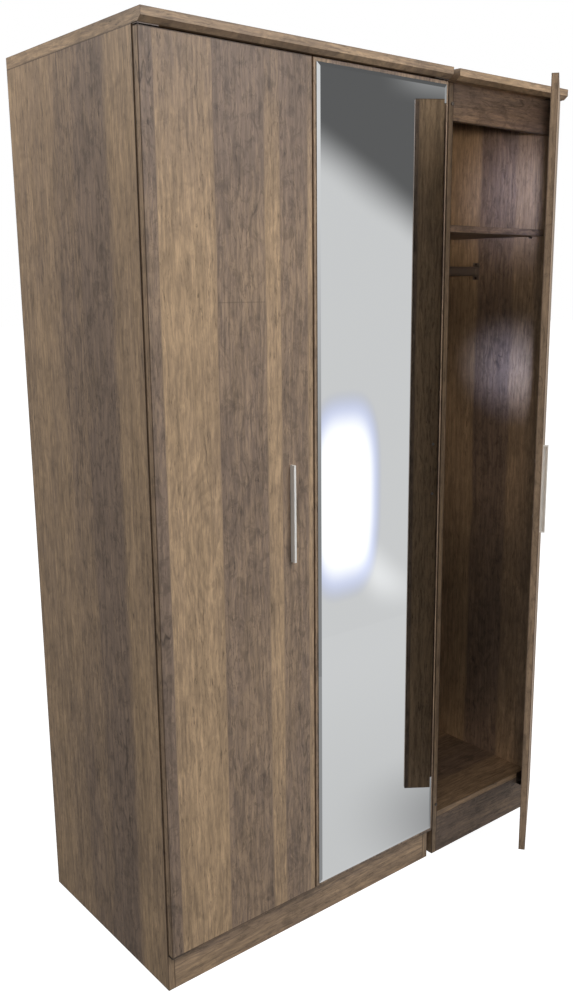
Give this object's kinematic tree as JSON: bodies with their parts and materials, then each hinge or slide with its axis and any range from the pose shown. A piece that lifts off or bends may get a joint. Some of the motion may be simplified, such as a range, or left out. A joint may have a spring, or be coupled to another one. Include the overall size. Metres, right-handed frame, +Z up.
{
  "type": "wardrobe with hinged doors",
  "caption": "Tall wardrobe of two carcasses side by side with hinged wooden doors, one with a mirror, one standing open on a shelf and a hanging rail.",
  "frame": {"origin": "on the floor, on the middle of the overall width, in the middle plane of the 16 mm thick front plinths", "axes": "+Z up, -Y out of the front, +X to the right of a person who faces the doors"},
  "size_m": [1.214, 0.7727, 1.97],
  "materials": {
    "oak_foil_board": "matt rustic oak-effect foil on 16 mm chipboard, planks in tan and grey-brown",
    "oak_foil_hardboard": "matt printed hardboard",
    "mirror": "silvered glass with a polished bevel",
    "satin_nickel": "satin nickel",
    "bright_steel": "bright plated steel",
    "dark_rail": "dark brown paint, satin",
    "brown_plastic": "matt",
    "beech": "plain turned beech"
  },
  "bodies": {
    "carcass": {"left_unit_side_left": "oak_foil_board", "left_unit_side_right": "oak_foil_board", "left_unit_base": "oak_foil_board", "left_unit_plinth": "oak_foil_board", "left_unit_rear_plinth": "oak_foil_board", "left_unit_top_rail": "oak_foil_board", "left_unit_shelf": "oak_foil_board", "left_unit_back_panel": "oak_foil_hardboard", "left_unit_top_board": "oak_foil_board", "left_unit_hanging_rail": "dark_rail", "left_unit_rail_sockets": "dark_rail", "right_unit_side_left": "oak_foil_board", "right_unit_side_right": "oak_foil_board", "right_unit_base": "oak_foil_board", "right_unit_plinth": "oak_foil_board", "right_unit_rear_plinth": "oak_foil_board", "right_unit_top_rail": "oak_foil_board", "right_unit_shelf": "oak_foil_board", "right_unit_back_panel": "oak_foil_hardboard", "right_unit_top_board": "oak_foil_board", "right_unit_hanging_rail": "dark_rail", "right_unit_rail_sockets": "dark_rail", "unit_spacers": "brown_plastic", "unit_joining_bolts": "bright_steel", "cam_fittings": "bright_steel", "dowels": "beech", "shelf_pins": "bright_steel", "rail_socket_screws": "bright_steel", "door_bumpers": "brown_plastic", "pivot_top_plates": "dark_rail", "pivot_bottom_brackets": "dark_rail", "pivot_pins": "bright_steel", "pivot_washers": "brown_plastic", "pivot_screws": "dark_rail"},
    "plain_door_leaf": {"plain_door": "oak_foil_board", "plain_door_pivot_bushes": "bright_steel", "plain_door_handle": "satin_nickel", "plain_door_handle_screws": "bright_steel"},
    "mirror_door_leaf": {"mirror_door": "oak_foil_board", "mirror_glass": "mirror", "mirror_pads": "brown_plastic", "mirror_door_pivot_bushes": "bright_steel"},
    "right_door_leaf": {"right_door": "oak_foil_board", "right_door_pivot_bushes": "bright_steel", "right_door_handle": "satin_nickel", "right_door_handle_screws": "bright_steel"}
  },
  "joints": [
    {"name": "plain_door_swing", "type": "hinge", "parent": "carcass", "child": "plain_door_leaf", "pos_m": [-0.5995, -0.0185, 1.018], "axis": [0, 0, -1], "range_deg": [0, 95]},
    {"name": "mirror_door_swing", "type": "hinge", "parent": "carcass", "child": "mirror_door_leaf", "pos_m": [0.1815, -0.0185, 1.018], "axis": [0, 0, 1], "range_deg": [0, 95]},
    {"name": "right_door_swing", "type": "hinge", "parent": "carcass", "child": "right_door_leaf", "pos_m": [0.594, -0.0185, 1.018], "axis": [0, 0, 1], "range_deg": [-36.5, 58.5]}
  ]
}
